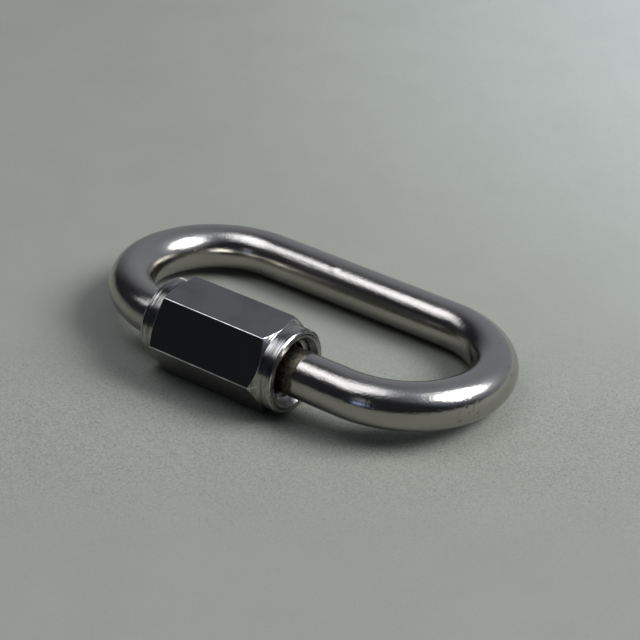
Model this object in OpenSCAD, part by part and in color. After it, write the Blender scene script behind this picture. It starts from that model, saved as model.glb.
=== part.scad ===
// Oval quick link: a round bar bent to an open oval, closed by a long hexagon nut that runs on
// the bar's two threaded ends. It lies as it comes to rest: the nut on one of its flats, and the
// far side of the bar on the ground. The nut's axis runs along X. Threads are plain cylinders.

/* [Bar] */
// Diameter of the round bar
bar_d = 6; // [5:0.1:6.4]
// Radius of both end bends, to the bar's centre line
bend_r = 11.75; // [10:0.25:20]
// Length of each straight side, from bend to bend
side_len = 27.5; // [25:0.5:50]

/* [Threaded ends] */
// Outside diameter of the thread on both upset ends of the bar
thread_d = 8; // [7:0.1:8.6]
// Length of the short end, from the bend to its tip
stub_len = 4.2; // [3.6:0.1:6]
// Open gate between the tips of the two threaded ends
gate_gap = 6.2; // [6.1:0.1:8]
// Length of full thread on the long end
long_thread_len = 6; // [4:0.5:7]
// Length of the cone where an upset end runs out into the plain bar
runout_len = 0.8; // [0.4:0.1:1.2]
// Chamfer that leads the nut on to each tip
lead_chamfer = 0.6; // [0.2:0.1:1]

/* [Nut] */
// Width of the nut across its flats
nut_flats = 11; // [10.6:0.1:14]
// Length of the nut
nut_len = 20; // [18:0.5:22]
// Distance from the short end's bend to the nut when the link is closed
nut_setback = 0.35; // [0.1:0.05:0.8]
// Length of the round collar turned on each end of the nut
collar_len = 1.95; // [1:0.05:3]
// Length of the steep shoulder from a collar up to the hexagon's corners
shoulder_len = 0.35; // [0.1:0.05:0.8]
// How much smaller across a collar is at its end than at its shoulder
collar_taper = 0.16; // [0:0.02:0.4]
// Chamfer round the outer rim of each end face
rim_chamfer = 0.2; // [0.05:0.01:0.3]
// Diameter of the countersunk mouth at each end face
mouth_d = 9; // [8.8:0.1:10]
// Angle between the mouth's wall and the nut's axis
mouth_angle = 45; // [30:5:60]

/* [Fit] */
// Running clearance between the thread and the nut, on the radius
thread_play = 0.05; // [0.02:0.01:0.1]

/* [Hidden] */
$fn = 96;
bar_colour = [0.62, 0.61, 0.58];
nut_colour = [0.55, 0.55, 0.54];

bar_r = bar_d / 2;
thread_r = thread_d / 2;
bore_r = thread_r + thread_play;
mouth_r = mouth_d / 2;
flat_r = nut_flats / 2;
corner_r = flat_r / cos(30);
// Radius that clears the corners, where the turned outline stands outside the hexagon
clear_r = corner_r + rim_chamfer;
mouth_depth = (mouth_r - bore_r) / tan(mouth_angle);
// The shoulder's slope carries on past the corners to the radius that clears them
shoulder_slope = shoulder_len / (corner_r - flat_r);
shoulder_end = collar_len + shoulder_slope * (clear_r - flat_r);

// Places along the nut's axis, from the middle of the straight side
short_bend_x = -side_len / 2;
long_bend_x = side_len / 2;
short_tip_x = short_bend_x + stub_len;
long_tip_x = short_tip_x + gate_gap;
long_thread_x = long_tip_x + long_thread_len;
nut_x = short_bend_x + nut_setback;

// The oval leans from the nut's axis down to the far side, which lies on the ground
lean = asin((flat_r - bar_r) / (2 * bend_r));
// The bounding box is centred on the origin, with the ground at Z = 0
axis_y = (corner_r - bar_r) / 2 - bend_r * cos(lean);
axis_z = flat_r;

// Moves a child that is drawn about the X axis on to the nut's axis
module on_axis() {
    translate([0, axis_y, axis_z])
        children();
}

// Turns an outline of [radius, place] about the X axis
module turned(outline) {
    rotate([0, 90, 0])
        rotate_extrude()
            polygon(outline);
}

// One end bend, half a turn from the nut's side to the far side
module bend(centre_x, turn) {
    translate([centre_x, bend_r, 0])
        rotate([0, 0, turn])
            rotate_extrude(angle = 180)
                translate([bend_r, 0])
                    circle(r = bar_r);
}

// The straight side away from the nut
module far_side() {
    translate([short_bend_x, 2 * bend_r, 0])
        rotate([0, 90, 0])
            cylinder(r = bar_r, h = side_len);
}

// The short upset end, threaded almost from the bend
module short_end() {
    turned([
        [0, short_bend_x],
        [bar_r, short_bend_x],
        [thread_r, short_bend_x + runout_len],
        [thread_r, short_tip_x - lead_chamfer],
        [thread_r - lead_chamfer, short_tip_x],
        [0, short_tip_x]
    ]);
}

// The long end: upset and threaded at its tip, plain bar from there to the bend
module long_end() {
    turned([
        [0, long_tip_x],
        [thread_r - lead_chamfer, long_tip_x],
        [thread_r, long_tip_x + lead_chamfer],
        [thread_r, long_thread_x],
        [bar_r, long_thread_x + runout_len],
        [bar_r, long_bend_x],
        [0, long_bend_x]
    ]);
}

module link_body() {
    color(bar_colour)
        on_axis()
            rotate([-lean, 0, 0])
                union() {
                    far_side();
                    bend(short_bend_x, 90);
                    bend(long_bend_x, -90);
                    short_end();
                    long_end();
                }
}

// Hexagon bar that the nut is turned from, with a flat underneath
module hexagon_bar() {
    rotate([0, 90, 0])
        rotate([0, 0, 90])
            cylinder(r = corner_r, h = nut_len, $fn = 6);
}

// Everything that the lathe leaves: collars, shoulders, countersunk mouths and the bore
module nut_turning() {
    collar_end_r = flat_r - collar_taper / 2;
    turned([
        [mouth_r, 0],
        [collar_end_r - rim_chamfer, 0],
        [collar_end_r, rim_chamfer],
        [flat_r, collar_len],
        [clear_r, shoulder_end],
        [clear_r, nut_len - shoulder_end],
        [flat_r, nut_len - collar_len],
        [collar_end_r, nut_len - rim_chamfer],
        [collar_end_r - rim_chamfer, nut_len],
        [mouth_r, nut_len],
        [bore_r, nut_len - mouth_depth],
        [bore_r, mouth_depth]
    ]);
}

module hex_nut() {
    color(nut_colour)
        on_axis()
            translate([nut_x, 0, 0])
                intersection() {
                    hexagon_bar();
                    nut_turning();
                }
}

link_body();
hex_nut();
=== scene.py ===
"""Oval quick link closed by a long hexagon nut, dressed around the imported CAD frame.

The bar is one closed skin carried along its centre line, from the tip of the long threaded end,
round both bends, to the tip of the short one. The nut is one closed skin too: out over its end
faces, collars, shoulders and flats, and back through its threaded bore. Both threads follow the
same helix, so they mesh wherever the nut stands after a whole number of turns.
"""

from __future__ import annotations

import logging
import math
from abc import ABC, abstractmethod
from collections.abc import Sequence
from dataclasses import dataclass, field
from enum import Enum

import bpy
import numpy as np
from mathutils import Matrix, Vector

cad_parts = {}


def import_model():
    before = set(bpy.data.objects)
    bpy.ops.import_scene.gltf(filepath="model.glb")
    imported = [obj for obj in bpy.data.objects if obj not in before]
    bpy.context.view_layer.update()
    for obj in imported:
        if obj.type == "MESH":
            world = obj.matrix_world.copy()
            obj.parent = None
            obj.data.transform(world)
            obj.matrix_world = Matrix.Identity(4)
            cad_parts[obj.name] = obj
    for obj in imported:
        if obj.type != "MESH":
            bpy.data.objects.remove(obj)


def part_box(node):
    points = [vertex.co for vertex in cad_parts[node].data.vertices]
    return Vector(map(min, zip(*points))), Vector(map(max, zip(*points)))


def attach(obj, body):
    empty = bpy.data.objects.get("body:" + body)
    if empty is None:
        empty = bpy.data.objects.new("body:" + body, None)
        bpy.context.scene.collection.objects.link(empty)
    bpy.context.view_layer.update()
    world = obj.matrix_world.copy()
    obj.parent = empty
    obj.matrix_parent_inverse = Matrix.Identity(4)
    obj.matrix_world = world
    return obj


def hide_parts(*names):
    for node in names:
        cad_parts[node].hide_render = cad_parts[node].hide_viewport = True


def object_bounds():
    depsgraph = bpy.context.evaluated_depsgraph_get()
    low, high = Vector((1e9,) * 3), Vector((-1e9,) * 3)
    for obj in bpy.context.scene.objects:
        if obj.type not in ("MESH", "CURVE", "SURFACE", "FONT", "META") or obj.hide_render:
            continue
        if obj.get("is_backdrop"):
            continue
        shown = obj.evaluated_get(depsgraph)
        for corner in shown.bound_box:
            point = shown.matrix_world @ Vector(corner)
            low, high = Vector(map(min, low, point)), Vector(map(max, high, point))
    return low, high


LOG = logging.getLogger("quick_link")
MM = 0.001
PICTURE_SIDE = 640
Colour = tuple[float, float, float]
Pair = tuple[float, float]
Spot = tuple[float, float, float, float]
Socket = bpy.types.NodeSocket
Array = np.ndarray


class Surface(Enum):
    """The surfaces that the link's two pieces are finished with."""

    POLISHED = "tumble_polished_steel"
    DRAWN = "drawn_hexagon_steel"
    TURNED = "lathe_turned_steel"
    THREAD = "cut_thread_steel"


def toward(bearing: float, height: float) -> Vector:
    """Unit vector at a bearing from +Y towards +X and a height above the floor.

    Args:
        bearing: Degrees from +Y towards +X.
        height: Degrees above the horizon.

    Returns:
        The unit vector.
    """
    turn = math.radians(bearing)
    rise = math.radians(height)
    flat = math.cos(rise)
    return Vector((math.sin(turn) * flat, math.cos(turn) * flat, math.sin(rise)))


# Node trees


class Graph:
    """Short calls that add nodes to one tree and link them."""

    def __init__(self, tree: bpy.types.NodeTree) -> None:
        """Takes over an empty tree."""
        self.tree = tree
        tree.nodes.clear()

    def put(self, target: Socket, value: object) -> None:
        """Links a socket to a target, or writes a plain value on it.

        Args:
            target: The input socket.
            value: An output socket, a number or a tuple.
        """
        if isinstance(value, Socket):
            self.tree.links.new(value, target)
        else:
            target.default_value = value

    def node(self, kind: str, inputs: dict | None = None, **settings: object) -> bpy.types.Node:
        """Adds a node.

        Args:
            kind: The node's type name, without its ShaderNode prefix.
            inputs: Values or sockets by input name or number.
            **settings: Properties of the node.

        Returns:
            The new node.
        """
        made = self.tree.nodes.new("ShaderNode" + kind)
        for key, value in settings.items():
            setattr(made, key, value)
        for key, value in (inputs or {}).items():
            self.put(made.inputs[key], value)
        return made

    def close(self, kind: str, shader: bpy.types.Node) -> None:
        """Adds an output node of a kind and joins a shader to it."""
        self.node(kind, {0: shader.outputs[0]})

    def here(self) -> Socket:
        """The place on the object itself."""
        return self.node("TexCoord").outputs["Object"]

    def own(self, title: str, output: str = "Fac") -> Socket:
        """An attribute of the piece's own mesh."""
        return self.node("Attribute", attribute_name=title).outputs[output]

    def math(self, operation: str, *values: object, clamp: bool = False) -> Socket:
        """Result of a Math node on one to three values."""
        made = self.node("Math", dict(enumerate(values)), operation=operation, use_clamp=clamp)
        return made.outputs[0]

    def vector(self, operation: str, *values: object) -> bpy.types.Node:
        """A Vector Math node on one or two vectors."""
        return self.node("VectorMath", dict(enumerate(values)), operation=operation)

    def scaled(self, arrow: object, share: Socket) -> Socket:
        """A vector or colour times a number."""
        return self.node("VectorMath", {0: arrow, "Scale": share}, operation="SCALE").outputs[0]

    def apart(self, place: object, middle: Sequence[float]) -> Socket:
        """Distance of a place from a fixed point."""
        return self.vector("DISTANCE", place, middle).outputs["Value"]

    def around(self, place: Socket, axis: Pair) -> tuple[Socket, Socket]:
        """Arrow to a place from an axis along X, which stands at a Y and a Z, and its length."""
        shift = (0.0, -axis[0], -axis[1])
        centred = self.node("Mapping", {"Vector": place, "Location": shift}).outputs[0]
        radial = self.vector("MULTIPLY", centred, (0.0, 1.0, 1.0)).outputs[0]
        return radial, self.vector("LENGTH", radial).outputs["Value"]

    def remap(self, value: Socket, span: Pair, to: Pair = (0, 1), smooth: bool = True) -> Socket:
        """Carries one range of a value on to another and holds it there.

        Args:
            value: The value.
            span: The range that it comes in.
            to: The range that it goes to.
            smooth: True for soft ends, False for a straight line.

        Returns:
            The new value.
        """
        ranges = dict(enumerate((value, *span, *to)))
        curve = "SMOOTHSTEP" if smooth else "LINEAR"
        return self.node("MapRange", ranges, interpolation_type=curve, clamp=True).outputs[0]

    def total(self, *parts: tuple[Socket, float]) -> Socket:
        """Sum of values, each times its own weight."""
        value, weight = parts[0]
        result = self.math("MULTIPLY", value, weight)
        for value, weight in parts[1:]:
            result = self.math("MULTIPLY_ADD", value, weight, result)
        return result

    def noise(self, place: Socket, scale: float, *shape: float) -> Socket:
        """Value of a Noise Texture, about 0.5 on average.

        Args:
            place: Where it is read.
            scale: Grains along a metre.
            *shape: Detail, roughness and distortion, as far as they are set.

        Returns:
            The value.
        """
        inputs = {"Vector": place, "Scale": scale}
        inputs.update(zip(("Detail", "Roughness", "Distortion"), shape))
        return self.node("TexNoise", inputs).outputs["Fac"]

    def drawn(self, place: Socket, along: float, across: float, *shape: float) -> Socket:
        """Noise with one scale along X and another across it."""
        stretched = self.vector("MULTIPLY", place, (along, across, across)).outputs[0]
        return self.noise(stretched, 1.0, *shape)

    def cells(self, place: Socket, scale: float) -> bpy.types.Node:
        """Scattered cells, with the distance from their middles and a colour of their own."""
        return self.node("TexVoronoi", {"Vector": place, "Scale": scale}, feature="F1")

    def scatter(
        self,
        place: Socket,
        scale: float,
        reach: Pair,
        wide: float,
        shown: Pair,
        shrink: Pair | None = None,
    ) -> Socket:
        """Spots at the middles of scattered cells, kept only where a wide noise lets them show.

        Args:
            place: Where they are read.
            scale: Cells along a metre.
            reach: Distances from a cell's middle between which its spot fades.
            wide: Scale of the wide noise.
            shown: Values of that noise between which the spots come up.
            shrink: What divides the reach of the smallest spots, and of the largest.

        Returns:
            The share of a spot, from 0 to 1.
        """
        cell = self.cells(place, scale)
        away = cell.outputs["Distance"]
        if shrink:
            size = self.remap(cell.outputs["Color"], (0.2, 0.8), shrink)
            away = self.math("MULTIPLY", away, size)
        spot = self.remap(away, reach, (1.0, 0.0))
        return self.math("MULTIPLY", spot, self.remap(self.noise(place, wide, 1.0), shown))

    def blend(self, share: object, first: object, second: object) -> Socket:
        """First colour where share is 0, second where it is 1."""
        return self.node("Mix", {0: share, 6: first, 7: second}, data_type="RGBA").outputs[2]


def solid(colour: Colour) -> tuple[float, float, float, float]:
    """A colour with full cover, as a node's socket wants it."""
    return (*colour, 1.0)


def blank_material(name: str) -> tuple[bpy.types.Material, Graph]:
    """A material with an empty tree, and that tree."""
    made = bpy.data.materials.new(name)
    made.use_nodes = True
    return made, Graph(made.node_tree)


def show(name: str, data: bpy.types.ID) -> bpy.types.Object:
    """Puts a new object into the scene."""
    made = bpy.data.objects.new(name, data)
    bpy.context.scene.collection.objects.link(made)
    return made


# Finishes


@dataclass(frozen=True)
class Pattern:
    """What a finish works out for each place on its surface.

    Args:
        darkening: Share of the shade in the colour, from 0 to 1.
        dull: Share of the way from the lowest roughness to the highest.
        height: Height of the surface, where 1 stands for the relief.
        clean: Colour of the clean metal, with the painted highlights and painted shade that some
            finishes put in it.
    """

    darkening: Socket
    dull: Socket
    height: Socket
    clean: object


@dataclass(frozen=True)
class Steel(ABC):
    """What every steel finish of the link shares.

    Args:
        surface: Which surface it is, which names the material.
        colour: Colour of the clean metal.
        shade: Colour of the metal where it is dull or darker.
        gloss: Lowest and highest roughness.
        relief: Height of the tool marks, in metres.
    """

    surface: Surface
    colour: Colour
    shade: Colour
    gloss: Pair
    relief: float

    @abstractmethod
    def pattern(self, graph: Graph) -> Pattern:
        """Works out the finish's own pattern."""

    def build(self) -> bpy.types.Material:
        """Makes the material: the finish's pattern on a metal shader.

        Returns:
            The material.
        """
        made, graph = blank_material(self.surface.value)
        seen = self.pattern(graph)
        marks = {"Height": seen.height, "Strength": 1.0, "Distance": self.relief}
        shader = graph.node(
            "BsdfPrincipled",
            {
                "Base Color": graph.blend(seen.darkening, seen.clean, solid(self.shade)),
                "Metallic": 1.0,
                "Roughness": graph.remap(seen.dull, (0.0, 1.0), self.gloss, smooth=False),
                "Normal": graph.node("Bump", marks).outputs[0],
            },
        )
        graph.close("OutputMaterial", shader)
        return made


@dataclass(frozen=True)
class PolishedBar(Steel):
    """Round bar that was polished in a tumbler: soft long streaks, pits and a few rubbed places.

    Args:
        pits: How many cells of pits stand along a metre.
        raw: Colour of the matt skin that the polishing didn't reach.
        raw_end: Length along the bar up to which that skin is left.
        haze: Lengths along the bar between which the polish goes from bright to softer.
        scuffs: Places on the straightened bar and how far each rubbed patch reaches.
        dings: The same for smooth shallow dents.
    """

    pits: float = 620.0
    raw: Colour = (0.115, 0.102, 0.080)
    raw_end: float = 11.25 * MM
    haze: Pair = (34.0 * MM, 56.0 * MM)
    scuffs: tuple[Spot, ...] = ()
    dings: tuple[Spot, ...] = ()

    def raw_skin(self, graph: Graph, place: object, along: object) -> tuple[object, object]:
        """The matt skin by the long thread, ragged at its end, with painted shade at its start.

        Args:
            graph: The material's tree.
            place: Place on the straightened bar.
            along: Length along the bar.

        Returns:
            The share of the skin, from 0 to 1, and its colour.
        """
        torn = graph.noise(place, 1300.0, 3.0, 0.65)
        ragged = graph.math("MULTIPLY_ADD", torn, 0.9 * MM, along)
        ends = (self.raw_end + 0.35 * MM, self.raw_end + 0.6 * MM)
        # Painted shade: towards its start, inside the nut's mouth, the skin darkens to a fifth of
        # its colour.
        mouth_shade_span = (self.raw_end - 1.9 * MM, self.raw_end - 0.7 * MM)
        mouth_shaded_skin = solid(tuple(0.2 * part for part in self.raw))
        skin = graph.blend(graph.remap(along, mouth_shade_span, (1.0, 0.0)), solid(self.raw), mouth_shaded_skin)
        mottle = graph.remap(graph.noise(place, 2400.0, 3.0, 0.65), (0.3, 0.7), (0.6, 1.9))
        return graph.remap(ragged, ends, (1.0, 0.0)), graph.scaled(skin, mottle)

    def pattern(self, graph: Graph) -> Pattern:
        """Works out streaks, pits, rubbed places and dents.

        The place read is the piece's own "unbent" attribute: the bar as if it were straight, with
        its length along X. Streaks are noise that is drawn out along the length.

        Args:
            graph: The material's tree.

        Returns:
            The pattern.
        """
        place = graph.own("unbent", "Vector")
        along = graph.node("SeparateXYZ", {0: place}).outputs[0]
        broad = graph.drawn(place, 90.0, 260.0, 3.0, 0.55)
        streak = graph.drawn(place, 240.0, 2600.0, 3.0, 0.6, 0.3)
        hair = graph.drawn(place, 900.0, 11000.0, 2.0, 0.6)
        peel = graph.noise(place, 900.0, 3.0, 0.6)
        frost = graph.noise(place, 3300.0, 2.0, 0.7)
        pit = graph.scatter(place, self.pits, (0.03, 0.10), 240.0, (0.56, 0.66))
        dot = graph.scatter(place, 2100.0, (0.14, 0.33), 1500.0, (0.42, 0.48), (1.15, 0.75))
        for *middle, reach in self.scuffs:
            near = graph.remap(graph.apart(place, middle), (0.6 * reach, reach), (1.0, 0.0))
            pit = graph.math("MAXIMUM", pit, graph.math("MULTIPLY", near, dot))
        left, skin = self.raw_skin(graph, place, along)
        hazy = graph.remap(hair, (0.5, 0.8), (0.0, 0.5))
        dull = graph.math("ADD", graph.remap(broad, (0.35, 0.68)), hazy)
        dull = graph.math("ADD", dull, pit, clamp=True)
        dull = graph.math("MULTIPLY_ADD", dull, 0.30, graph.remap(along, self.haze, (0.0, 0.09)))
        dull = graph.math("MAXIMUM", dull, left)
        darkening = graph.math("ADD", graph.remap(broad, (0.45, 0.75), (0.0, 0.16)), pit, clamp=True)
        darkening = graph.math("SUBTRACT", darkening, left, clamp=True)
        height = graph.total(
            (streak, 0.45), (hair, 0.16), (peel, 0.7), (frost, 0.7), (pit, -0.8), (left, -0.8)
        )
        for *middle, reach in self.dings:
            sunk = graph.remap(graph.apart(place, middle), (0.0, reach), (1.6, 0.0))
            height = graph.math("ADD", height, sunk)
        return Pattern(darkening, dull, height, graph.blend(left, solid(self.colour), skin))


@dataclass(frozen=True)
class DrawnFlats(Steel):
    """Flats of the drawn hexagon: lines along the nut, a few dents, and bare edges with a painted
    highlight.

    Args:
        wear_and_highlight: Colour of the edges: bare from wear, with a painted highlight.
    """

    wear_and_highlight: Colour = (0.85, 0.85, 0.85)

    def pattern(self, graph: Graph) -> Pattern:
        """Works out lines and dents.

        Lines are noise that is drawn out along X. The "edge" attribute is 1 on the hexagon's
        edges, which are bare from wear and brighter, with a painted highlight line.

        Args:
            graph: The material's tree.

        Returns:
            The pattern.
        """
        place = graph.here()
        broad = graph.noise(place, 170.0, 3.0, 0.6)
        line = graph.drawn(place, 170.0, 3800.0, 3.0, 0.65)
        hair = graph.drawn(place, 420.0, 12000.0, 2.0, 0.6)
        peel = graph.noise(place, 1400.0, 3.0, 0.6)
        dent = graph.scatter(place, 480.0, (0.03, 0.11), 260.0, (0.56, 0.64))
        darkening = graph.math("ADD", graph.remap(broad, (0.42, 0.72), (0.0, 0.7)), dent, clamp=True)
        # Painted highlight: a bright colour on the hexagon's edges, broken in a few places, draws
        # a highlight line along them.
        rubbed = graph.remap(graph.drawn(place, 520.0, 60.0, 3.0, 0.7), (0.38, 0.62), (0.35, 1.0))
        edge = graph.math("MULTIPLY", graph.own("edge"), rubbed)
        hazy = graph.remap(hair, (0.5, 0.8), (0.0, 0.4))
        dull = graph.math("ADD", graph.remap(broad, (0.35, 0.7)), hazy)
        height = graph.total((line, 0.5), (hair, 0.15), (peel, 0.6), (dent, -1.8))
        return Pattern(darkening, dull, height, graph.blend(edge, solid(self.colour), solid(self.wear_and_highlight)))


@dataclass(frozen=True)
class TurnedRings(Steel):
    """Collars, shoulders and faces of the nut, with the rings that a lathe tool leaves.

    Args:
        axis: Where the nut's axis stands along Y and Z.
        wear_and_highlight: Colour of the bright rims: bare from wear, with a painted highlight.
    """

    axis: Pair = (0.0, 0.0)
    wear_and_highlight: Colour = (0.85, 0.85, 0.85)

    def pattern(self, graph: Graph) -> Pattern:
        """Works out the rings.

        Rings are noise of two lengths alone, the place along the axis and the distance from it,
        with a little of the place itself so that each ring fades in and out on its way round. The
        "edge" attribute is 1 on the rims, which are bare from wear and brighter, with a painted
        highlight line.

        Args:
            graph: The material's tree.

        Returns:
            The pattern.
        """
        place = graph.here()
        radial, reach = graph.around(place, self.axis)
        along = graph.node("SeparateXYZ", {0: place}).outputs[0]
        ring = graph.node("CombineXYZ", {0: along, 1: reach}).outputs[0]
        drift = graph.vector("MULTIPLY", radial, (1.0, 0.10, 0.10)).outputs[0]
        path = graph.vector("ADD", ring, drift).outputs[0]
        coarse = graph.noise(path, 2700.0, 3.0, 0.65)
        fine = graph.noise(path, 9000.0, 2.0, 0.6)
        broad = graph.remap(graph.noise(place, 420.0, 3.0, 0.6), (0.42, 0.7), (0.0, 0.5))
        darkening = graph.math("ADD", graph.remap(coarse, (0.42, 0.66), (0.0, 0.75)), broad)
        rough = graph.remap(coarse, (0.35, 0.7), (0.0, 0.6))
        dull = graph.math("ADD", rough, graph.remap(fine, (0.4, 0.7), (0.0, 0.4)))
        height = graph.total((coarse, 0.78), (fine, 0.22))
        # Painted highlight: a bright colour on the rims draws a highlight line round them.
        clean = graph.blend(graph.own("edge"), solid(self.colour), solid(self.wear_and_highlight))
        return Pattern(darkening, dull, height, clean)


@dataclass(frozen=True)
class CutThread(Steel):
    """Thread flanks: fine torn lines round the helix, and a colour that darkens towards the roots.

    Args:
        axis: Where the thread's axis stands along Y and Z.
        roots: Distances from the axis of the thread's roots and of its crests.
    """

    axis: Pair = (0.0, 0.0)
    roots: Pair = (0.0, 1.0)

    def pattern(self, graph: Graph) -> Pattern:
        """Works out the darkening, which grows from the crest to the root.

        Args:
            graph: The material's tree.

        Returns:
            The pattern.
        """
        place = graph.here()
        # The colour darkens from the crests to the roots, and is darkest on the mouths' cones
        # beyond them.
        deep = graph.remap(graph.around(place, self.axis)[1], self.roots, (1.0, 0.0))
        grain = graph.noise(place, 5200.0, 3.0, 0.65)
        broad = graph.remap(graph.noise(place, 500.0, 3.0, 0.6), (0.5, 0.8), (0.0, 0.4))
        darkening = graph.math("MINIMUM", graph.math("MULTIPLY_ADD", deep, 0.7, broad), 1.0)
        rough = graph.remap(grain, (0.35, 0.7), (0.0, 0.6))
        dull = graph.math("MULTIPLY_ADD", deep, 0.4, rough)
        return Pattern(darkening, dull, grain, solid(self.colour))


@dataclass(frozen=True)
class StudioGround:
    """Matt grey ground with fine sandy grains, lighter behind the link: a painted pool of light.

    Args:
        colour: Colour round the link.
        painted_pool_colour: Colour of the painted pool of light.
        middle: Middle of the painted pool of light, along X and Y.
        span: Distances from that middle at which the change begins and ends.
        speckle: How dark the darkest grains are, as a share of the colour.
        lie: Direction across the band where the grains are strongest, along X and Y.
        band: Distances from the middle of that band between which the grains weaken.
        band_at: Where the middle of that band stands along its direction.
        relief: Height of the grains.
    """

    colour: Colour = (0.272, 0.281, 0.238)
    painted_pool_colour: Colour = (0.514, 0.543, 0.504)
    middle: Pair = (0.054, 0.176)
    span: Pair = (0.05, 0.183)
    speckle: float = 0.50
    lie: Pair = (-0.579, 0.816)
    band: Pair = (0.002, 0.026)
    band_at: float = -0.016
    relief: float = 0.01 * MM

    def build(self) -> bpy.types.Material:
        """Makes the material.

        Sand is a random lightness for each of many small cells. Dots are the dark middles of
        larger cells, of which only a few are strong. Both weaken on each side of the band.

        Returns:
            The material.
        """
        made, graph = blank_material("studio_ground")
        place = graph.here()
        across = graph.vector("DOT_PRODUCT", place, (*self.lie, 0.0)).outputs["Value"]
        off_band = graph.math("ABSOLUTE", graph.math("SUBTRACT", across, self.band_at))
        strong = graph.remap(off_band, self.band, (1.0, 0.15))
        fine = graph.math("SUBTRACT", graph.noise(place, 3000.0, 5.0, 0.9), 0.5)
        grain = graph.math("MULTIPLY_ADD", fine, strong, 0.5)
        patch = graph.noise(place, 90.0, 4.0, 0.6)
        grit = graph.cells(place, 2300.0)
        dot = graph.remap(grit.outputs["Distance"], (0.10, 0.36), (1.0, 0.0))
        dot = graph.math("MULTIPLY", dot, graph.remap(grit.outputs["Color"], (0.42, 0.78)))
        sand = graph.cells(place, 5200.0).outputs["Color"]
        sand = graph.remap(sand, (0.25, 0.75), (-0.18, 0.18))
        rough = graph.math("MULTIPLY_ADD", dot, 0.85, sand)
        soft = graph.remap(grain, (0.38, 0.64), (0.0, 0.55))
        share = graph.math("ADD", soft, graph.remap(patch, (0.35, 0.7), (0.0, 0.07)))
        share = graph.math("MULTIPLY_ADD", rough, strong, share)
        # Painted light: the colour turns from that of the painted pool of light near its middle to
        # the plain colour further out.
        away = graph.remap(graph.apart(place, (*self.middle, 0.0)), self.span)
        colour = graph.blend(away, solid(self.painted_pool_colour), solid(self.colour))
        cover = graph.remap(share, (-0.3, 1.0), (1.0, self.speckle), smooth=False)
        marks = {"Height": grain, "Strength": 1.0, "Distance": self.relief}
        shader = graph.node(
            "BsdfPrincipled",
            {
                "Base Color": graph.scaled(colour, cover),
                "Roughness": 0.72,
                "Specular IOR Level": 0.3,
                "Normal": graph.node("Bump", marks).outputs[0],
            },
        )
        graph.close("OutputMaterial", shader)
        return made


# Surfaces


@dataclass
class Skin:
    """A closed skin, held as a grid of points.

    Rows run along the piece and columns run round it. Columns close on themselves. Rows do so
    too where the skin is a ring, and otherwise end in a pole at each end.

    Args:
        points: Places, as an array of rows by columns by 3, in metres.
        bands: Number of the finish between each row and the next.
        ring: True where the last row goes on to the first.
        layers: Values at the points by attribute name, rows by columns or rows by columns by 3.
    """

    points: Array
    bands: Array
    ring: bool
    layers: dict[str, Array] = field(default_factory=dict)

    def quads(self) -> Array:
        """Index rows of the faces between neighbouring rows of points."""
        rows, columns = self.points.shape[:2]
        grid = np.arange(rows * columns).reshape(rows, columns)
        low = grid if self.ring else grid[:-1]
        high = np.roll(grid, -1, axis=0) if self.ring else grid[1:]
        corners = (low, np.roll(low, -1, axis=1), np.roll(high, -1, axis=1), high)
        return np.stack(corners, axis=-1).reshape(-1, 4)

    def fans(self) -> Array:
        """Index rows of the triangles that close each end on its pole."""
        rows, columns = self.points.shape[:2]
        first = np.arange(columns)
        last = first + (rows - 1) * columns
        start = np.stack((np.full(columns, rows * columns), np.roll(first, -1), first), axis=-1)
        end = np.stack((np.full(columns, rows * columns + 1), last, np.roll(last, -1)), axis=-1)
        return np.concatenate((start, end))

    def with_poles(self, values: Array) -> Array:
        """Values of all points, with the mean of the first row and of the last at the poles."""
        flat = values.reshape(-1, *values.shape[2:])
        if self.ring:
            return flat
        return np.concatenate((flat, values[:1].mean(axis=1), values[-1:].mean(axis=1)))

    def piece(self, name: str, materials: list[bpy.types.Material]) -> bpy.types.Object:
        """Makes the object, with its place in its mesh and its faces turned outwards.

        The volume under the faces is the sum of a . (b x c) / 6 over their triangles. Where it is
        negative, every face is turned round.

        Args:
            name: Name of the object.
            materials: Its finishes, in the order of the bands' numbers.

        Returns:
            The object.
        """
        points = self.with_poles(self.points)
        quads = self.quads()
        faces = quads.tolist()
        corners = points[quads]
        triangles = np.concatenate((corners[:, (0, 1, 2)], corners[:, (0, 2, 3)]))
        numbers = np.repeat(self.bands, self.points.shape[1])
        if not self.ring:
            fans = self.fans()
            faces += fans.tolist()
            triangles = np.concatenate((triangles, points[fans]))
            ends = np.repeat(self.bands[[0, -1]], self.points.shape[1])
            numbers = np.concatenate((numbers, ends))
        volume = np.einsum("ij,ij->i", triangles[:, 0], np.cross(triangles[:, 1], triangles[:, 2]))
        if volume.sum() < 0:
            faces = [face[::-1] for face in faces]
        mesh = bpy.data.meshes.new(name)
        mesh.from_pydata(points.tolist(), [], faces)
        mesh.polygons.foreach_set("material_index", numbers.astype(np.int32))
        mesh.polygons.foreach_set("use_smooth", np.ones(len(faces), dtype=bool))
        for title, values in self.layers.items():
            vector = values.ndim == 3
            layer = mesh.attributes.new(title, "FLOAT_VECTOR" if vector else "FLOAT", "POINT")
            data = self.with_poles(values).astype(np.float32).ravel()
            layer.data.foreach_set("vector" if vector else "value", data)
        for material in materials:
            mesh.materials.append(material)
        mesh.update()
        made = show(name, mesh)
        LOG.info("%s: %d points, %d faces", name, len(points), len(faces))
        return made


# Thread


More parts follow.
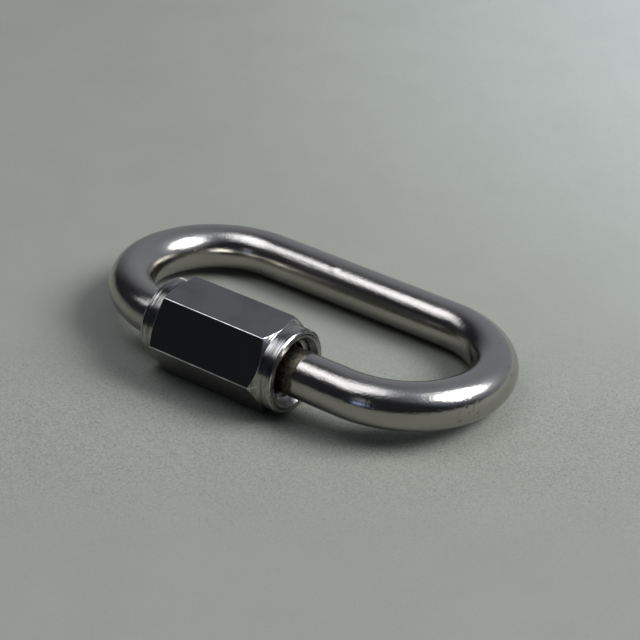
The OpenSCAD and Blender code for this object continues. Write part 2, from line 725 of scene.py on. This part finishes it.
@dataclass(frozen=True)
class Thread:
    """A right-handed thread about the nut's axis.

    Args:
        pitch: Distance from one crest to the next.
        crest: Radius of the bar's crests.
        root: Radius of the bar's roots.
        nut_root: Radius of the nut's grooves.
        nut_crest: Radius of the nut's ridges.
    """

    pitch: float = 1.25 * MM
    crest: float = 3.96 * MM
    root: float = 3.25 * MM
    nut_root: float = 4.03 * MM
    nut_crest: float = 3.42 * MM

    def depth(self, along: Array, turn: Array) -> Array:
        """Share of the way from the crest of the bar's thread to its root.

        The phase is along / pitch - turn / (2 pi). Its distance from the middle of a crest rises
        from 0 to 1 half a pitch away. The flank takes up the part from 0.14 to 0.78, as the
        S-shaped curve 3 t^2 - 2 t^3, which rounds the crest and the root.

        Args:
            along: Place along X, in metres.
            turn: Angle about +X from +Y, in radians.

        Returns:
            The share, from 0 on the crest to 1 in the root.
        """
        phase = along / self.pitch - turn / (2 * np.pi)
        away = np.abs(2 * (phase - np.floor(phase)) - 1)
        flank = np.clip((away - 0.14) / 0.64, 0, 1)
        return flank * flank * (3 - 2 * flank)

    def male(self, along: Array, turn: Array) -> Array:
        """Radius of the bar's thread."""
        return self.crest - (self.crest - self.root) * self.depth(along, turn)

    def female(self, along: Array, turn: Array) -> Array:
        """Radius of the nut's thread."""
        return self.nut_root - (self.nut_root - self.nut_crest) * self.depth(along, turn)


# Bar


@dataclass
class LinkBar:
    """The round bar, bent to an open oval, with a threaded end on each side of the gate.

    Args:
        axis_y: Where the nut's axis stands along Y.
        axis_z: How high the nut's axis stands.
        bar_r: Radius of the plain bar.
        bend_r: Radius of the bends, to the centre line.
        half_side: Half the length of each straight side.
        lean: Angle that the oval's plane leans down from the nut to the far side.
        thread: The thread.
        stub: Length of the short end, from the bend to its tip.
        gate: Gap between the tips.
        long_thread: Length of full thread on the long end.
        runout: Length of the cone from the thread down to the plain bar.
        lead: Chamfer at each tip.
        unevenness: A fifth of the greatest depth that polishing took off in slow waves.
        columns: Number of points round the bar.
    """

    axis_y: float
    axis_z: float
    bar_r: float
    bend_r: float
    half_side: float
    lean: float
    thread: Thread
    stub: float = 4.2 * MM
    gate: float = 6.2 * MM
    long_thread: float = 6.0 * MM
    runout: float = 0.8 * MM
    lead: float = 0.6 * MM
    unevenness: float = 0.004 * MM
    columns: int = 96

    @classmethod
    def from_frame(cls, thread: Thread, bar_r: float = 3.0 * MM) -> "LinkBar":
        """Takes the sizes that the CAD boxes give.

        Args:
            thread: The thread.
            bar_r: Radius of the plain bar.

        Returns:
            The bar.
        """
        nut_low, nut_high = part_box("hex_nut")
        low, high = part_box("link_body")
        axis_y = (nut_low.y + nut_high.y) / 2
        axis_z = (nut_low.z + nut_high.z) / 2
        across = high.y - bar_r - axis_y
        fall = axis_z - (low.z + bar_r)
        bend_r = math.hypot(across, fall) / 2
        return cls(
            axis_y=axis_y,
            axis_z=axis_z,
            bar_r=bar_r,
            bend_r=bend_r,
            half_side=(high.x - low.x) / 2 - bend_r - bar_r,
            lean=math.atan2(fall, across),
            thread=thread,
        )

    @property
    def short_tip(self) -> float:
        """Where the short end's tip stands along X."""
        return self.stub - self.half_side

    @property
    def long_tip(self) -> float:
        """Where the long end's tip stands along X."""
        return self.short_tip + self.gate

    @property
    def runs(self) -> Array:
        """Lengths along the bar at which its straights and bends begin, and its whole length."""
        half_turn = math.pi * self.bend_r
        lengths = (
            self.half_side - self.long_tip,
            half_turn,
            2 * self.half_side,
            half_turn,
            self.stub,
        )
        return np.concatenate(((0.0,), np.cumsum(lengths)))

    def stations(self) -> tuple[Array, Array]:
        """Lengths along the bar of the rows of points, and the most that each row's radius may be.

        Rows stand a twentieth of a pitch apart on the threads, a few millimetres apart on the
        straights, and 3 degrees apart round the bends. The first rows and the last make the flat
        faces of the tips, where only the radius grows.

        Returns:
            Lengths and greatest radii.
        """
        runs = self.runs
        step = self.thread.pitch / 20
        threaded = self.long_thread + self.runout
        face = np.array((0.5, 1.4, 2.4, 3.0, 3.3)) * MM
        parts = (
            np.arange(0.0, threaded, step),
            np.array((threaded, threaded + 0.1 * MM, threaded + 0.6 * MM)),
            np.linspace(threaded + 2 * MM, runs[1], 6, endpoint=False),
            np.linspace(runs[1], runs[2], 60, endpoint=False),
            np.linspace(runs[2], runs[3], 20, endpoint=False),
            np.linspace(runs[3], runs[4], 60, endpoint=False),
            np.arange(runs[4], runs[5], step),
            np.array((runs[5],)),
        )
        along = np.concatenate((np.zeros(face.size), *parts, np.full(face.size, runs[5])))
        middle = np.full(along.size - 2 * face.size, 1.0)
        return along, np.concatenate((face, middle, face[::-1]))

    def centre_line(self, along: Array) -> tuple[Array, Array]:
        """Centre line and the direction out of the oval, at lengths along the bar.

        In the oval's plane a straight runs on its heading, and a bend turns the heading by the
        length gone round it over its radius. A point on a bend stands at the bend's middle plus
        the radius times the direction out, which is the heading less a quarter turn.

        Args:
            along: Lengths along the bar.

        Returns:
            Places and unit vectors, each an array of rows by 3.
        """
        runs = self.runs
        first = np.clip((along - runs[1]) / self.bend_r, 0, np.pi)
        second = np.clip((along - runs[3]) / self.bend_r, 0, np.pi)
        heading = first + second
        near = np.minimum(along, runs[1]) + self.long_tip
        far = np.clip(along - runs[2], 0, 2 * self.half_side)
        back = np.maximum(along - runs[4], 0)
        across = near + self.bend_r * np.sin(first) - far - self.bend_r * np.sin(second) + back
        deep = self.bend_r * (1 - np.cos(heading))
        down = np.array((0.0, math.cos(self.lean), -math.sin(self.lean)))
        start = np.array((0.0, self.axis_y, self.axis_z))
        side = np.array((1.0, 0.0, 0.0))
        places = start + across[:, None] * side + deep[:, None] * down
        out = np.sin(heading)[:, None] * side - np.cos(heading)[:, None] * down
        return places, out

    def skin(self) -> Skin:
        """Works out the whole surface of the bar.

        A point is the centre line plus the radius times (cos a . out + sin a . up), where up is
        the normal of the oval's plane. The radius is the thread's where there is one, held under
        the tips' chamfers and over the run-out cones. Elsewhere it is the plain bar's, less the
        unevenness that polishing left, which is a sum of three sines of the length and the angle.

        Returns:
            The surface, with each point's place on the straightened bar.
        """
        along, most = self.stations()
        places, out = self.centre_line(along)
        total = self.runs[5]
        angle = np.arange(self.columns) * 2 * np.pi / self.columns
        up = np.array((0.0, math.sin(self.lean), math.cos(self.lean)))
        ray = np.cos(angle)[None, :, None] * out[:, None, :] + np.sin(angle)[None, :, None] * up
        turn = np.arctan2(ray[..., 2], ray[..., 1])
        from_tip = np.minimum(along, total - along)
        full = np.where(along < total / 2, self.long_thread, self.stub - self.runout)
        tip_cone = self.thread.crest - self.lead + from_tip
        slope = (self.thread.crest - self.bar_r) / self.runout
        run_cone = self.thread.crest - (from_tip - full) * slope
        outline = np.minimum(tip_cone, run_cone)[:, None]
        cut = np.minimum(outline, self.thread.male(places[:, 0][:, None], turn))
        on_bend = np.clip(from_tip / MM - 5.0, 0, 3)[:, None] / 3
        wave = (
            np.sin(along[:, None] / (2.1 * MM) + 1.3 * np.sin(angle))
            + 0.8 * np.sin(along[:, None] / (1.3 * MM) + 2.0 * np.cos(angle) + 1.0)
            + 0.7 * np.sin(2 * angle + along[:, None] / (5.2 * MM))
        )
        plain = self.bar_r - self.unevenness * on_bend * (wave + 2.5)
        radius = np.minimum(np.maximum(cut, plain), most[:, None])
        points = places[:, None, :] + radius[..., None] * ray
        length = np.broadcast_to(along[:, None], radius.shape)
        unbent = np.stack((length, radius * np.cos(angle), radius * np.sin(angle)), axis=-1)
        threaded = from_tip < full + self.runout
        bands = np.where(threaded[:-1] & threaded[1:], 1, 0)
        return Skin(points, bands, ring=False, layers={"unbent": unbent})

    def build(self) -> bpy.types.Object:
        """Builds the bar, dresses it and puts it in its node's place.

        Returns:
            The piece.
        """
        polished = PolishedBar(
            surface=Surface.POLISHED,
            colour=(0.375, 0.358, 0.322),
            shade=(0.10, 0.092, 0.078),
            gloss=(0.11, 0.44),
            relief=0.000030,
            scuffs=(
                (42.9 * MM, 0.34 * MM, 2.98 * MM, 0.6 * MM),
                (39.8 * MM, 1.12 * MM, 2.78 * MM, 0.8 * MM),
                (38.8 * MM, 2.31 * MM, 1.91 * MM, 0.9 * MM),
                (31.1 * MM, 2.96 * MM, 0.15 * MM, 1.9 * MM),
            ),
            dings=((71.2 * MM, -1.45 * MM, 2.62 * MM, 1.1 * MM),),
        )
        cut = CutThread(
            surface=Surface.THREAD,
            colour=(0.38, 0.37, 0.345),
            shade=(0.09, 0.08, 0.065),
            gloss=(0.14, 0.36),
            relief=0.000005,
            axis=(self.axis_y, self.axis_z),
            roots=(self.thread.root, self.thread.crest),
        )
        piece = self.skin().piece("oval_bar", [polished.build(), cut.build()])
        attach(piece, "link_body")
        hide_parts("link_body")
        return piece


# Nut


@dataclass
class HexNut:
    """The long hexagon nut, turned down to a round collar at each end and threaded right through.

    Args:
        low_x: Where its short-end face stands along X.
        high_x: Where its other face stands along X.
        axis_y: Where its axis stands along Y.
        axis_z: How high its axis stands.
        flat_r: Half its width across flats.
        thread: The thread.
        corner_round: Radius of the round on each corner of the hexagon.
        collar: Length of each collar.
        collar_r: Radius of a collar where it meets its shoulder.
        collar_end_r: Radius of a collar at its end.
        shoulder_slopes: How far the shoulder at the short end, and the other one, run along the
            axis for each length that they rise.
        rim: Chamfer on the outer rim of each face.
        mouth_r: Radius of each countersunk mouth.
        climb: Shares of a shoulder's rise at which its rows of points stand.
        settle: Distances past a shoulder of the first rows on the flats.
    """

    low_x: float
    high_x: float
    axis_y: float
    axis_z: float
    flat_r: float
    thread: Thread
    corner_round: float = 0.28 * MM
    collar: float = 1.95 * MM
    collar_r: float = 5.46 * MM
    collar_end_r: float = 5.41 * MM
    shoulder_slopes: Pair = (0.42, 0.75)
    rim: float = 0.2 * MM
    mouth_r: float = 4.5 * MM
    climb: tuple[float, ...] = (0.1, 0.5, 0.9, 1.0)
    settle: tuple[float, ...] = (0.05 * MM, 0.16 * MM, 0.5 * MM)

    @classmethod
    def from_frame(cls, thread: Thread) -> "HexNut":
        """Takes the sizes that the CAD box gives.

        Args:
            thread: The thread.

        Returns:
            The nut.
        """
        low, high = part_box("hex_nut")
        return cls(
            low_x=low.x,
            high_x=high.x,
            axis_y=(low.y + high.y) / 2,
            axis_z=(low.z + high.z) / 2,
            flat_r=(high.z - low.z) / 2,
            thread=thread,
        )

    def turns(self) -> tuple[Array, Array]:
        """Angles of the columns about the axis, and each one's angle from its nearest corner.

        A sixth of the hexagon has seven columns close together over the round on its corner. From
        there they grow apart step by step to 3 degrees, which keeps the collars evenly shaded.

        Returns:
            Angles from +Y, and angles from the nearest corner, in radians.
        """
        start = self.round_start()
        flat = np.radians((2.0, 2.9, 4.1, 5.7, 7.7, 10.1, 12.7, 15.4, 18.2, 21.1, 24.0, 27.0))
        half = np.concatenate((np.array((0.27, 0.6, 1.0)) * start, flat))
        local = np.concatenate(((-math.pi / 6,), -half[::-1], (0.0,), half))
        corner = np.repeat(np.arange(6) * math.pi / 3, local.size)
        local = np.tile(local, 6)
        return corner + local, local

    def round_start(self) -> float:
        """Angle from a corner at which its round meets the flat."""
        reach = math.tan(math.pi / 6) * (1 - self.corner_round / self.flat_r)
        return math.pi / 6 - math.atan(reach)

    def hexagon(self, local: Array) -> Array:
        """Radius of the hexagon with rounded corners.

        On a flat it is the flat's distance over the cosine of the angle from the flat's middle.
        On a corner's round, whose middle stands c from the axis, it is
        c cos a + sqrt(round^2 - (c sin a)^2), with a the angle from the corner.

        Args:
            local: Angle from the nearest corner.

        Returns:
            The radius.
        """
        middle = (self.flat_r - self.corner_round) / math.cos(math.pi / 6)
        rest = np.maximum(self.corner_round**2 - (middle * np.sin(local)) ** 2, 0)
        rounded = middle * np.cos(local) + np.sqrt(rest)
        flat = self.flat_r / np.cos(math.pi / 6 - np.abs(local))
        return np.where(np.abs(local) < self.round_start(), rounded, flat)

    def tool_marks(self, from_end: Array) -> Array:
        """Height of the rings that the tool leaves on a collar, 0 or a few microns lower."""
        feed = from_end / (0.031 * MM)
        return 0.0013 * MM * (np.sin(feed) + 0.6 * np.sin(0.37 * feed + 1.0) - 1.6)

    def end_rows(self, radius: Array, shoulder: float) -> tuple[Array, Array]:
        """One end of the nut, from the edge of the mouth out to the start of the flats.

        Args:
            radius: Radius of the hexagon at each column.
            shoulder: How far the shoulder runs along the axis for each length that it rises.

        Returns:
            Distances from the end face and radii, as arrays of rows by columns.
        """
        face_r = np.array((4.50, 4.53, 4.66, 4.93, 4.955, 4.99, 5.015, 5.13)) * MM
        groove = np.array((0.0, 0.0, 0.0, 0.0, 0.02, 0.02, 0.0, 0.0)) * MM
        rim = np.array((0.0, 0.12, 0.5, 0.88, 1.0)) * self.rim
        collar = np.arange(self.rim + 0.04 * MM, self.collar - 0.06 * MM, 0.05 * MM)
        slope = (self.collar_r - self.collar_end_r) / (self.collar - self.rim)
        collar_r = self.collar_end_r + slope * (collar - self.rim) + self.tool_marks(collar)
        last = (self.collar - 0.03 * MM, self.collar)
        last_r = (self.collar_r - 0.001 * MM, self.collar_r)
        rim_r = self.collar_end_r - self.rim + rim
        rise = radius - self.collar_r
        climb = np.array(self.climb)[:, None] * rise
        settle = np.array(self.settle)[:, None]
        level = np.zeros_like(radius)
        distance = (
            np.concatenate((groove, rim, collar, last))[:, None] + level,
            self.collar + shoulder * climb,
            self.collar + shoulder * rise + settle,
        )
        reach = (
            np.concatenate((face_r, rim_r, collar_r, last_r))[:, None] + level,
            self.collar_r + climb,
            radius + 0 * settle,
        )
        return np.concatenate(distance), np.concatenate(reach)

    def skin(self) -> Skin:
        """Works out the whole surface of the nut.

        A point is the axis plus its place along X plus the radius times (cos a, sin a) in Y and Z.
        The bore's radius is the thread's, or the mouth's cone where that is wider.

        Returns:
            The surface, with the "edge" attribute 1 on the hexagon's edges and up to 0.7 on
            rims, which marks where the finishes put bare wear and a painted highlight line.
        """
        turn, local = self.turns()
        hexagon = self.hexagon(local)
        distance, reach = self.end_rows(hexagon, self.shoulder_slopes[0])
        start = self.low_x + distance
        end = self.high_x - self.end_rows(hexagon, self.shoulder_slopes[1])[0][::-1]
        middle = start[-1] + np.linspace(0, 1, 12)[1:-1, None] * (end[0] - start[-1])
        step = self.thread.pitch / 20
        bore = np.arange(self.high_x - 0.03 * MM, self.low_x + 0.02 * MM, -step)
        cone = self.mouth_r - np.minimum(self.high_x - bore, bore - self.low_x)
        inner = np.maximum(cone[:, None], self.thread.female(bore[:, None], turn))
        along = np.concatenate((start, middle, end, bore[:, None] + 0 * inner))
        radius = np.concatenate((reach, hexagon + 0 * middle, reach[::-1], inner))
        points = np.stack(
            (along, self.axis_y + radius * np.cos(turn), self.axis_z + radius * np.sin(turn)),
            axis=-1,
        )
        rows = np.arange(reach.shape[0])
        settled = len(self.settle)
        bands = np.concatenate((
            np.where(rows < rows.size - settled - 1, 1, 0),
            np.zeros(middle.shape[0], dtype=int),
            np.where(rows < settled, 0, 1),
            np.full(bore.size, 2),
        ))
        # The edge mask: where the finishes put a bright colour, as bare wear and as a painted
        # highlight line, on the corners, rims and shoulders.
        corner = np.clip(1 - np.abs(local) / math.radians(1.0), 0, 1)
        wear_and_highlight = corner + 0 * reach
        wear_and_highlight[: -settled - len(self.climb)] = 0
        wear_and_highlight[9:12] = np.array((0.3, 0.7, 0.2))[:, None]
        crest = slice(-settled - 2, -settled + 1)
        wear_and_highlight[crest] = np.maximum(wear_and_highlight[crest], np.array((0.1, 0.35, 0.2))[:, None])
        edge = np.concatenate((wear_and_highlight, corner + 0 * middle, wear_and_highlight[::-1], 0 * inner))
        return Skin(points, bands, ring=True, layers={"edge": edge})

    def build(self) -> bpy.types.Object:
        """Builds the nut, dresses it and puts it in its node's place.

        Returns:
            The piece.
        """
        axis = (self.axis_y, self.axis_z)
        drawn = DrawnFlats(
            surface=Surface.DRAWN,
            colour=(0.25, 0.245, 0.225),
            shade=(0.185, 0.18, 0.165),
            gloss=(0.11, 0.20),
            relief=0.0000075,
        )
        turned = TurnedRings(
            surface=Surface.TURNED,
            colour=(0.36, 0.35, 0.325),
            shade=(0.11, 0.105, 0.095),
            gloss=(0.10, 0.26),
            relief=0.000066,
            axis=axis,
        )
        cut = CutThread(
            surface=Surface.THREAD,
            colour=(0.42, 0.41, 0.40),
            shade=(0.05, 0.045, 0.038),
            gloss=(0.16, 0.38),
            relief=0.000004,
            axis=axis,
            roots=(self.thread.nut_root, self.thread.nut_crest),
        )
        piece = self.skin().piece("long_nut", [drawn.build(), turned.build(), cut.build()])
        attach(piece, "hex_nut")
        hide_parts("hex_nut")
        return piece


# Studio


@dataclass(frozen=True)
class Softbox:
    """A square lamp whose light fades out towards its edges.

    Args:
        name: Name of the lamp.
        bearing: Degrees from +Y towards +X at which it stands.
        height: Degrees above the floor.
        distance: Distance from the link.
        side: Width and depth of its face.
        radiance: Brightness of its middle, where 1 is a plain white.
        tint: Colour of its light.
        fade: Share of the half width over which the light fades.
    """

    name: str
    bearing: float
    height: float
    distance: float
    side: Pair
    radiance: float
    tint: Colour = (1.0, 1.0, 1.0)
    fade: float = 0.35

    def build(self) -> bpy.types.Object:
        """Makes the lamp, which faces the link.

        The light of a point on the face is the product of two smooth steps, one for its distance
        from each pair of edges.

        Returns:
            The lamp.
        """
        lamp = bpy.data.lights.new(self.name, "AREA")
        lamp.shape = "RECTANGLE"
        lamp.size, lamp.size_y = self.side
        lamp.energy = self.radiance * 4 * self.side[0] * self.side[1]
        lamp.color = self.tint
        lamp.use_nodes = True
        graph = Graph(lamp.node_tree)
        place = graph.node("NewGeometry").outputs["Parametric"]
        axes = graph.node("SeparateXYZ", {0: place})
        cover: object = 1.0
        for part in axes.outputs[:2]:
            off_middle = graph.math("ABSOLUTE", graph.math("SUBTRACT", part, 0.5))
            step = graph.remap(off_middle, (0.5 * (1 - self.fade), 0.5), (1.0, 0.0))
            cover = graph.math("MULTIPLY", cover, step)
        graph.close("OutputLight", graph.node("Emission", {"Strength": cover}))
        made = show(self.name, lamp)
        away = toward(self.bearing, self.height)
        made.location = away * self.distance
        made.rotation_euler = away.to_track_quat("Z", "Y").to_euler()
        LOG.info("%s: %.2f m away", self.name, self.distance)
        return made


@dataclass(frozen=True)
class Glow:
    """A soft patch of light on the walls of the room.

    Args:
        bearing: Degrees from +Y towards +X of its middle.
        height: Degrees above the floor of its middle.
        inner: Angle from its middle up to which it is full.
        outer: Angle from its middle at which it has faded out.
        colour: Light that it adds.
    """

    bearing: float
    height: float
    inner: float
    outer: float
    colour: Colour


@dataclass(frozen=True)
class Room:
    """The dim room round the lamps, which the steel mirrors.

    Args:
        base: Light that comes from everywhere.
        glows: Soft patches that add to it.
    """

    base: Colour = (0.026, 0.028, 0.035)
    glows: tuple[Glow, ...] = (
        Glow(-5.0, 10.0, 18.0, 74.0, (0.335, 0.355, 0.41)),
        Glow(-60.0, 85.0, 5.0, 15.0, (0.42, 0.43, 0.47)),
        Glow(55.0, 70.0, 12.0, 46.0, (0.15, 0.175, 0.22)),
        Glow(61.0, 42.0, 20.0, 42.0, (0.16, 0.19, 0.25)),
        Glow(52.0, 66.0, 4.0, 10.0, (1.35, 1.50, 1.70)),
        Glow(-179.8, 12.0, 2.0, 7.0, (0.80, 1.10, 1.9)),
        Glow(-179.8, 28.0, 1.0, 7.0, (0.60, 0.62, 0.70)),
        Glow(-113.0, 41.0, 2.0, 10.0, (1.4, 1.45, 1.6)),
    )

    def build(self) -> bpy.types.World:
        """Makes the world.

        Each patch is a smooth step on the cosine of the angle from its middle, which is the dot
        product of two unit vectors.

        Returns:
            The world.
        """
        world = bpy.data.worlds.new("dim_room")
        world.use_nodes = True
        graph = Graph(world.node_tree)
        way = graph.node("TexCoord").outputs["Generated"]
        total: object = self.base
        for glow in self.glows:
            middle = toward(glow.bearing, glow.height)
            cosine = graph.vector("DOT_PRODUCT", way, tuple(middle)).outputs["Value"]
            span = (math.cos(math.radians(glow.outer)), math.cos(math.radians(glow.inner)))
            light = graph.scaled(glow.colour, graph.remap(cosine, span))
            total = graph.vector("ADD", total, light).outputs[0]
        shader = graph.node("Background", {"Color": total, "Strength": 1.0})
        graph.close("OutputWorld", shader)
        bpy.context.scene.world = world
        return world


def floor(reach: float = 4.0) -> bpy.types.Object:
    """Makes the flat ground that the link lies on, as one square at height 0.

    Args:
        reach: Half its width.

    Returns:
        The ground, marked as stage.
    """
    mesh = bpy.data.meshes.new("studio_floor")
    ends = (-reach, reach)
    mesh.from_pydata([(x, y, 0.0) for x in ends for y in ends], [], [(0, 2, 3, 1)])
    mesh.materials.append(StudioGround().build())
    made = show("studio_floor", mesh)
    made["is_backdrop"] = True
    LOG.info("studio_floor: %.1f m across", 2 * reach)
    return made


@dataclass(frozen=True)
class Viewpoint:
    """The camera, at the photograph's angle and distance.

    Args:
        bearing: Degrees from -Y towards +X at which the camera stands.
        height: Degrees above the floor.
        roll: Degrees that the picture is turned.
        distance: Distance from the point looked at.
        target: The point looked at.
        focal: Focal length in pixels of the picture.
        sensor: Width of the sensor, in millimetres.
    """

    bearing: float = 35.3505
    height: float = 32.8411
    roll: float = 0.9383
    distance: float = 270.35 * MM
    target: tuple[float, float, float] = (-2.836 * MM, 8.104 * MM, 0.0)
    focal: float = 2080.0
    sensor: float = 36.0

    def build(self) -> bpy.types.Object:
        """Makes the camera and hands it to the scene.

        Returns:
            The camera.
        """
        lens = bpy.data.cameras.new("photo_camera")
        lens.sensor_width = self.sensor
        lens.sensor_fit = "HORIZONTAL"
        lens.lens = self.focal / PICTURE_SIDE * self.sensor
        lens.clip_start = 0.01
        lens.clip_end = 50.0
        back = toward(180.0 - self.bearing, self.height)
        level = back.to_track_quat("Z", "Y").to_matrix()
        turn = level @ Matrix.Rotation(math.radians(self.roll), 3, "Z")
        place = Vector(self.target) + back * self.distance
        made = show("photo_camera", lens)
        made.matrix_world = Matrix.Translation(place) @ turn.to_4x4()
        bpy.context.scene.camera = made
        return made


def boxes(stage: str, kept: dict[str, object]) -> None:
    """Keeps the box of everything shown, as plain lists of numbers."""
    low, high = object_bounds()
    kept[stage] = [list(low), list(high)]


def main() -> None:
    """Builds the studio and both pieces, and reports each one."""
    logging.basicConfig(level=logging.INFO, format="%(name)s: %(message)s")
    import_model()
    kept: dict[str, object] = {}
    boxes("cad", kept)
    bpy.context.scene.view_settings.view_transform = "Standard"
    Viewpoint().build()
    Room().build()
    lamps = (
        Softbox("key_softbox", 61.0, 43.5, 0.80, (0.575, 0.51), 13.5, (0.985, 0.995, 1.03), 0.5),
        Softbox("top_softbox", -125.0, 70.0, 0.60, (0.57, 0.57), 2.2, (0.955, 0.98, 1.075), 0.62),
    )
    for lamp in lamps:
        lamp.build()
    floor()
    thread = Thread()
    LinkBar.from_frame(thread).build()
    HexNut.from_frame(thread).build()
    boxes("visual", kept)


if __name__ == "__main__":
    main()
